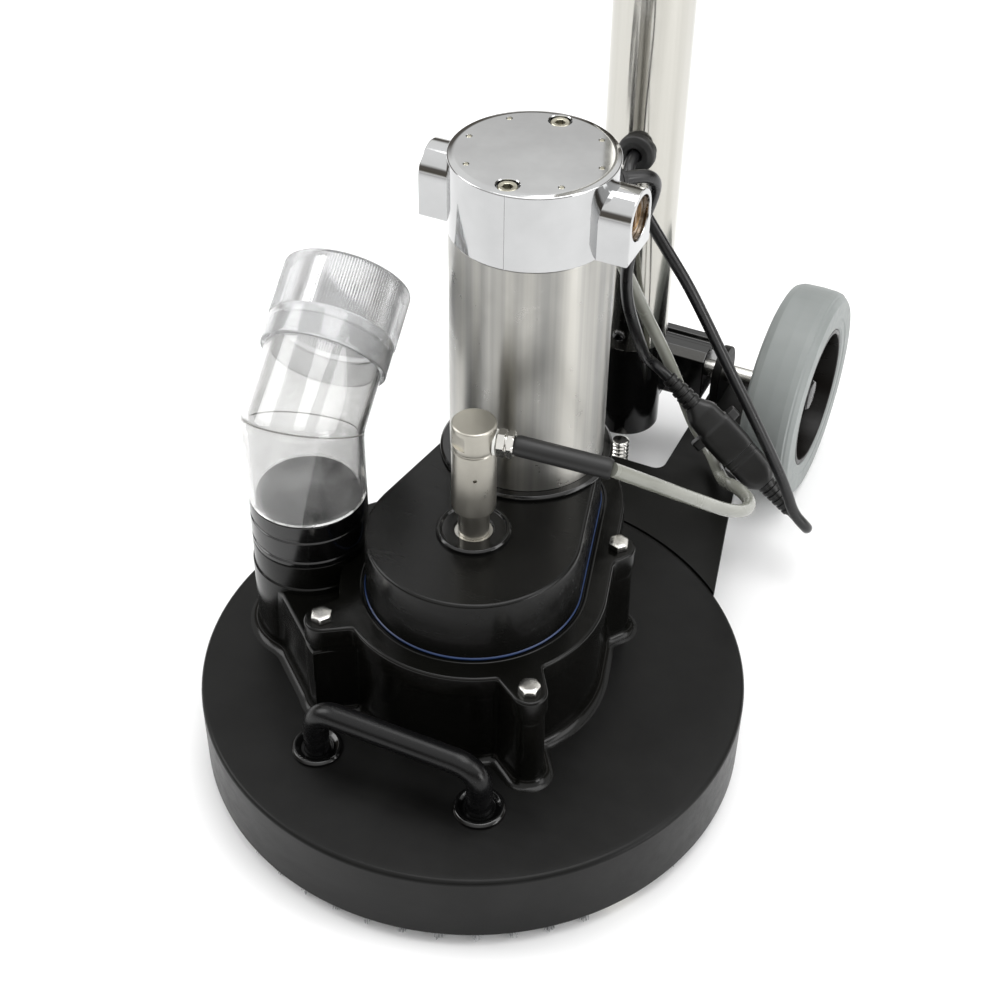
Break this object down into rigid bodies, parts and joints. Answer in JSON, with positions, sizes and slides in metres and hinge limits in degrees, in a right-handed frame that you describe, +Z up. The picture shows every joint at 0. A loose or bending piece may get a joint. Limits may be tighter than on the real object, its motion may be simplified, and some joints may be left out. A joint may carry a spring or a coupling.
{
  "type": "walk-behind rotary floor extractor",
  "caption": "Walk-behind rotary floor extractor: round deck over a spinning vacuum head, belt-driven by an upright motor, with suction elbow, wheels and tilting tube handle.",
  "frame": {"origin": "on the floor, under the middle of the object's bounding box", "axes": "+Z up, +Y towards the wheels and the operator, +X to the right when seen from the front of the deck"},
  "size_m": [0.33, 0.565, 1.0425],
  "materials": {
    "deck_plastic": "matte black textured moulded plastic",
    "case_black": "satin black cast metal",
    "cover_black": "satin black moulded cover",
    "gasket_blue": "blue sealing rubber",
    "bolt_steel": "bright zinc plated steel",
    "bearing_steel": "ground steel",
    "clear_plastic": "clear acrylic",
    "cuff_plastic": "frosted ribbed plastic",
    "collar_black": "glossy black plastic",
    "polished_metal": "mirror polished",
    "shell_metal": "polished tube",
    "winding": "laminations and varnished windings",
    "magnet": "ceramic magnet",
    "carbon": "pressed carbon",
    "bronze": "dull bronze",
    "swivel_steel": "satin stainless steel",
    "nut_steel": "bright plated",
    "white_nylon": "white nylon",
    "black_rubber": "black rubber",
    "cord_black": "black cord jacket",
    "hose_cream": "translucent cream hose",
    "connector_grey": "dark grey plastic",
    "belt_rubber": "toothed black rubber",
    "pulley_alloy": "machined aluminium",
    "head_alloy": "cast aluminium",
    "glide_white": "pale plastic",
    "bristle_grey": "grey nylon bristle",
    "tail_black": "black powder coat",
    "tyre_grey": "grey non-marking rubber",
    "hub_black": "black moulded hub",
    "tube_chrome": "bright chrome plate",
    "grip_black": "soft black grip",
    "switch_red": "red rocker"
  },
  "bodies": {
    "root": {"deck_shell": "deck_plastic", "chassis_tail": "tail_black", "stop_screw": "bolt_steel", "axle_brackets": "tail_black", "wheel_axle": "bolt_steel", "axle_collars": "bolt_steel", "case_lower": "case_black", "case_flange": "case_black", "case_gasket": "gasket_blue", "belt_cover": "cover_black", "case_bolts": "bolt_steel", "motor_end_bell": "case_black", "motor_shell": "shell_metal", "motor_end_cap": "polished_metal", "motor_magnets": "magnet", "motor_bearings": "bearing_steel", "hub_bearings": "bearing_steel", "carbon_brushes": "carbon", "brush_caps": "bronze", "motor_cap_screws": "bronze", "motor_lead_bushing": "black_rubber", "timing_belt": "belt_rubber", "spindle_seal": "black_rubber", "swivel_body": "swivel_steel", "hose_washer": "white_nylon", "hose_nut": "nut_steel", "hose_sleeve": "black_rubber", "solution_hose": "hose_cream", "lift_handle": "tail_black", "lift_handle_washers": "collar_black", "handle_cord": "cord_black", "motor_cord": "cord_black", "inline_plug": "connector_grey", "inline_socket": "connector_grey"},
    "spin_head": {"hub_shaft": "bearing_steel", "driven_pulley": "pulley_alloy", "head_plate": "head_alloy", "vacuum_glides": "glide_white", "brush_tufts": "bristle_grey", "spray_jets": "bronze", "swivel_stem": "swivel_steel"},
    "rotor": {"motor_shaft": "bearing_steel", "armature": "winding", "drive_pulley": "pulley_alloy"},
    "elbow": {"swivel_collar": "collar_black", "vacuum_elbow": "clear_plastic"},
    "cuff": {"hose_cuff": "cuff_plastic"},
    "wheel_right": {"tyre_right": "tyre_grey", "wheel_hub_right": "hub_black"},
    "wheel_left": {"tyre_left": "tyre_grey", "wheel_hub_left": "hub_black"},
    "handle": {"handle_tube": "tube_chrome", "handle_yoke": "case_black", "stub_screws": "bolt_steel", "tube_grommets": "black_rubber", "handle_head": "hub_black", "handle_crossbar": "tube_chrome", "handle_grips": "grip_black"},
    "switch": {"motor_switch": "switch_red"},
    "trigger": {"spray_trigger": "hub_black"}
  },
  "joints": [
    {"name": "head_spin", "type": "hinge", "parent": "root", "child": "spin_head", "pos_m": [0, -0.1175, 0.03], "axis": [0, 0, 1], "continuous": true},
    {"name": "rotor_spin", "type": "hinge", "parent": "root", "child": "rotor", "pos_m": [-0.0044, -0.0345, 0.2], "axis": [0, 0, 1], "continuous": true},
    {"name": "elbow_swivel", "type": "hinge", "parent": "root", "child": "elbow", "pos_m": [-0.106, -0.1225, 0.15], "axis": [0, 0, 1], "range_deg": [-18, 200]},
    {"name": "cuff_turn", "type": "hinge", "parent": "elbow", "child": "cuff", "pos_m": [-0.106, -0.1225, 0.209], "axis": [-0.128, 0.8565, 0.5], "continuous": true},
    {"name": "wheel_right_spin", "type": "hinge", "parent": "root", "child": "wheel_right", "pos_m": [0.099, 0.2065, 0.076], "axis": [1, 0, 0], "continuous": true},
    {"name": "wheel_left_spin", "type": "hinge", "parent": "root", "child": "wheel_left", "pos_m": [-0.099, 0.2065, 0.076], "axis": [1, 0, 0], "continuous": true},
    {"name": "handle_tilt", "type": "hinge", "parent": "root", "child": "handle", "pos_m": [0, 0.2065, 0.076], "axis": [-1, 0, 0], "range_deg": [0, 50], "deforming": ["handle_cord", "solution_hose"]},
    {"name": "switch_rock", "type": "hinge", "parent": "handle", "child": "switch", "pos_m": [-0.008, 0.1705, 1.037], "axis": [1, 0, 0], "range_deg": [-7, 7]},
    {"name": "trigger_pull", "type": "hinge", "parent": "handle", "child": "trigger", "pos_m": [0.024, 0.1685, 0.99], "axis": [0, -1, 0], "range_deg": [0, 3], "stiffness_Nm_per_rad": 2, "springref_deg": -5.73}
  ],
  "couplings": [
    {"joint": "rotor_spin", "follows": "head_spin", "ratio": 4}
  ]
}
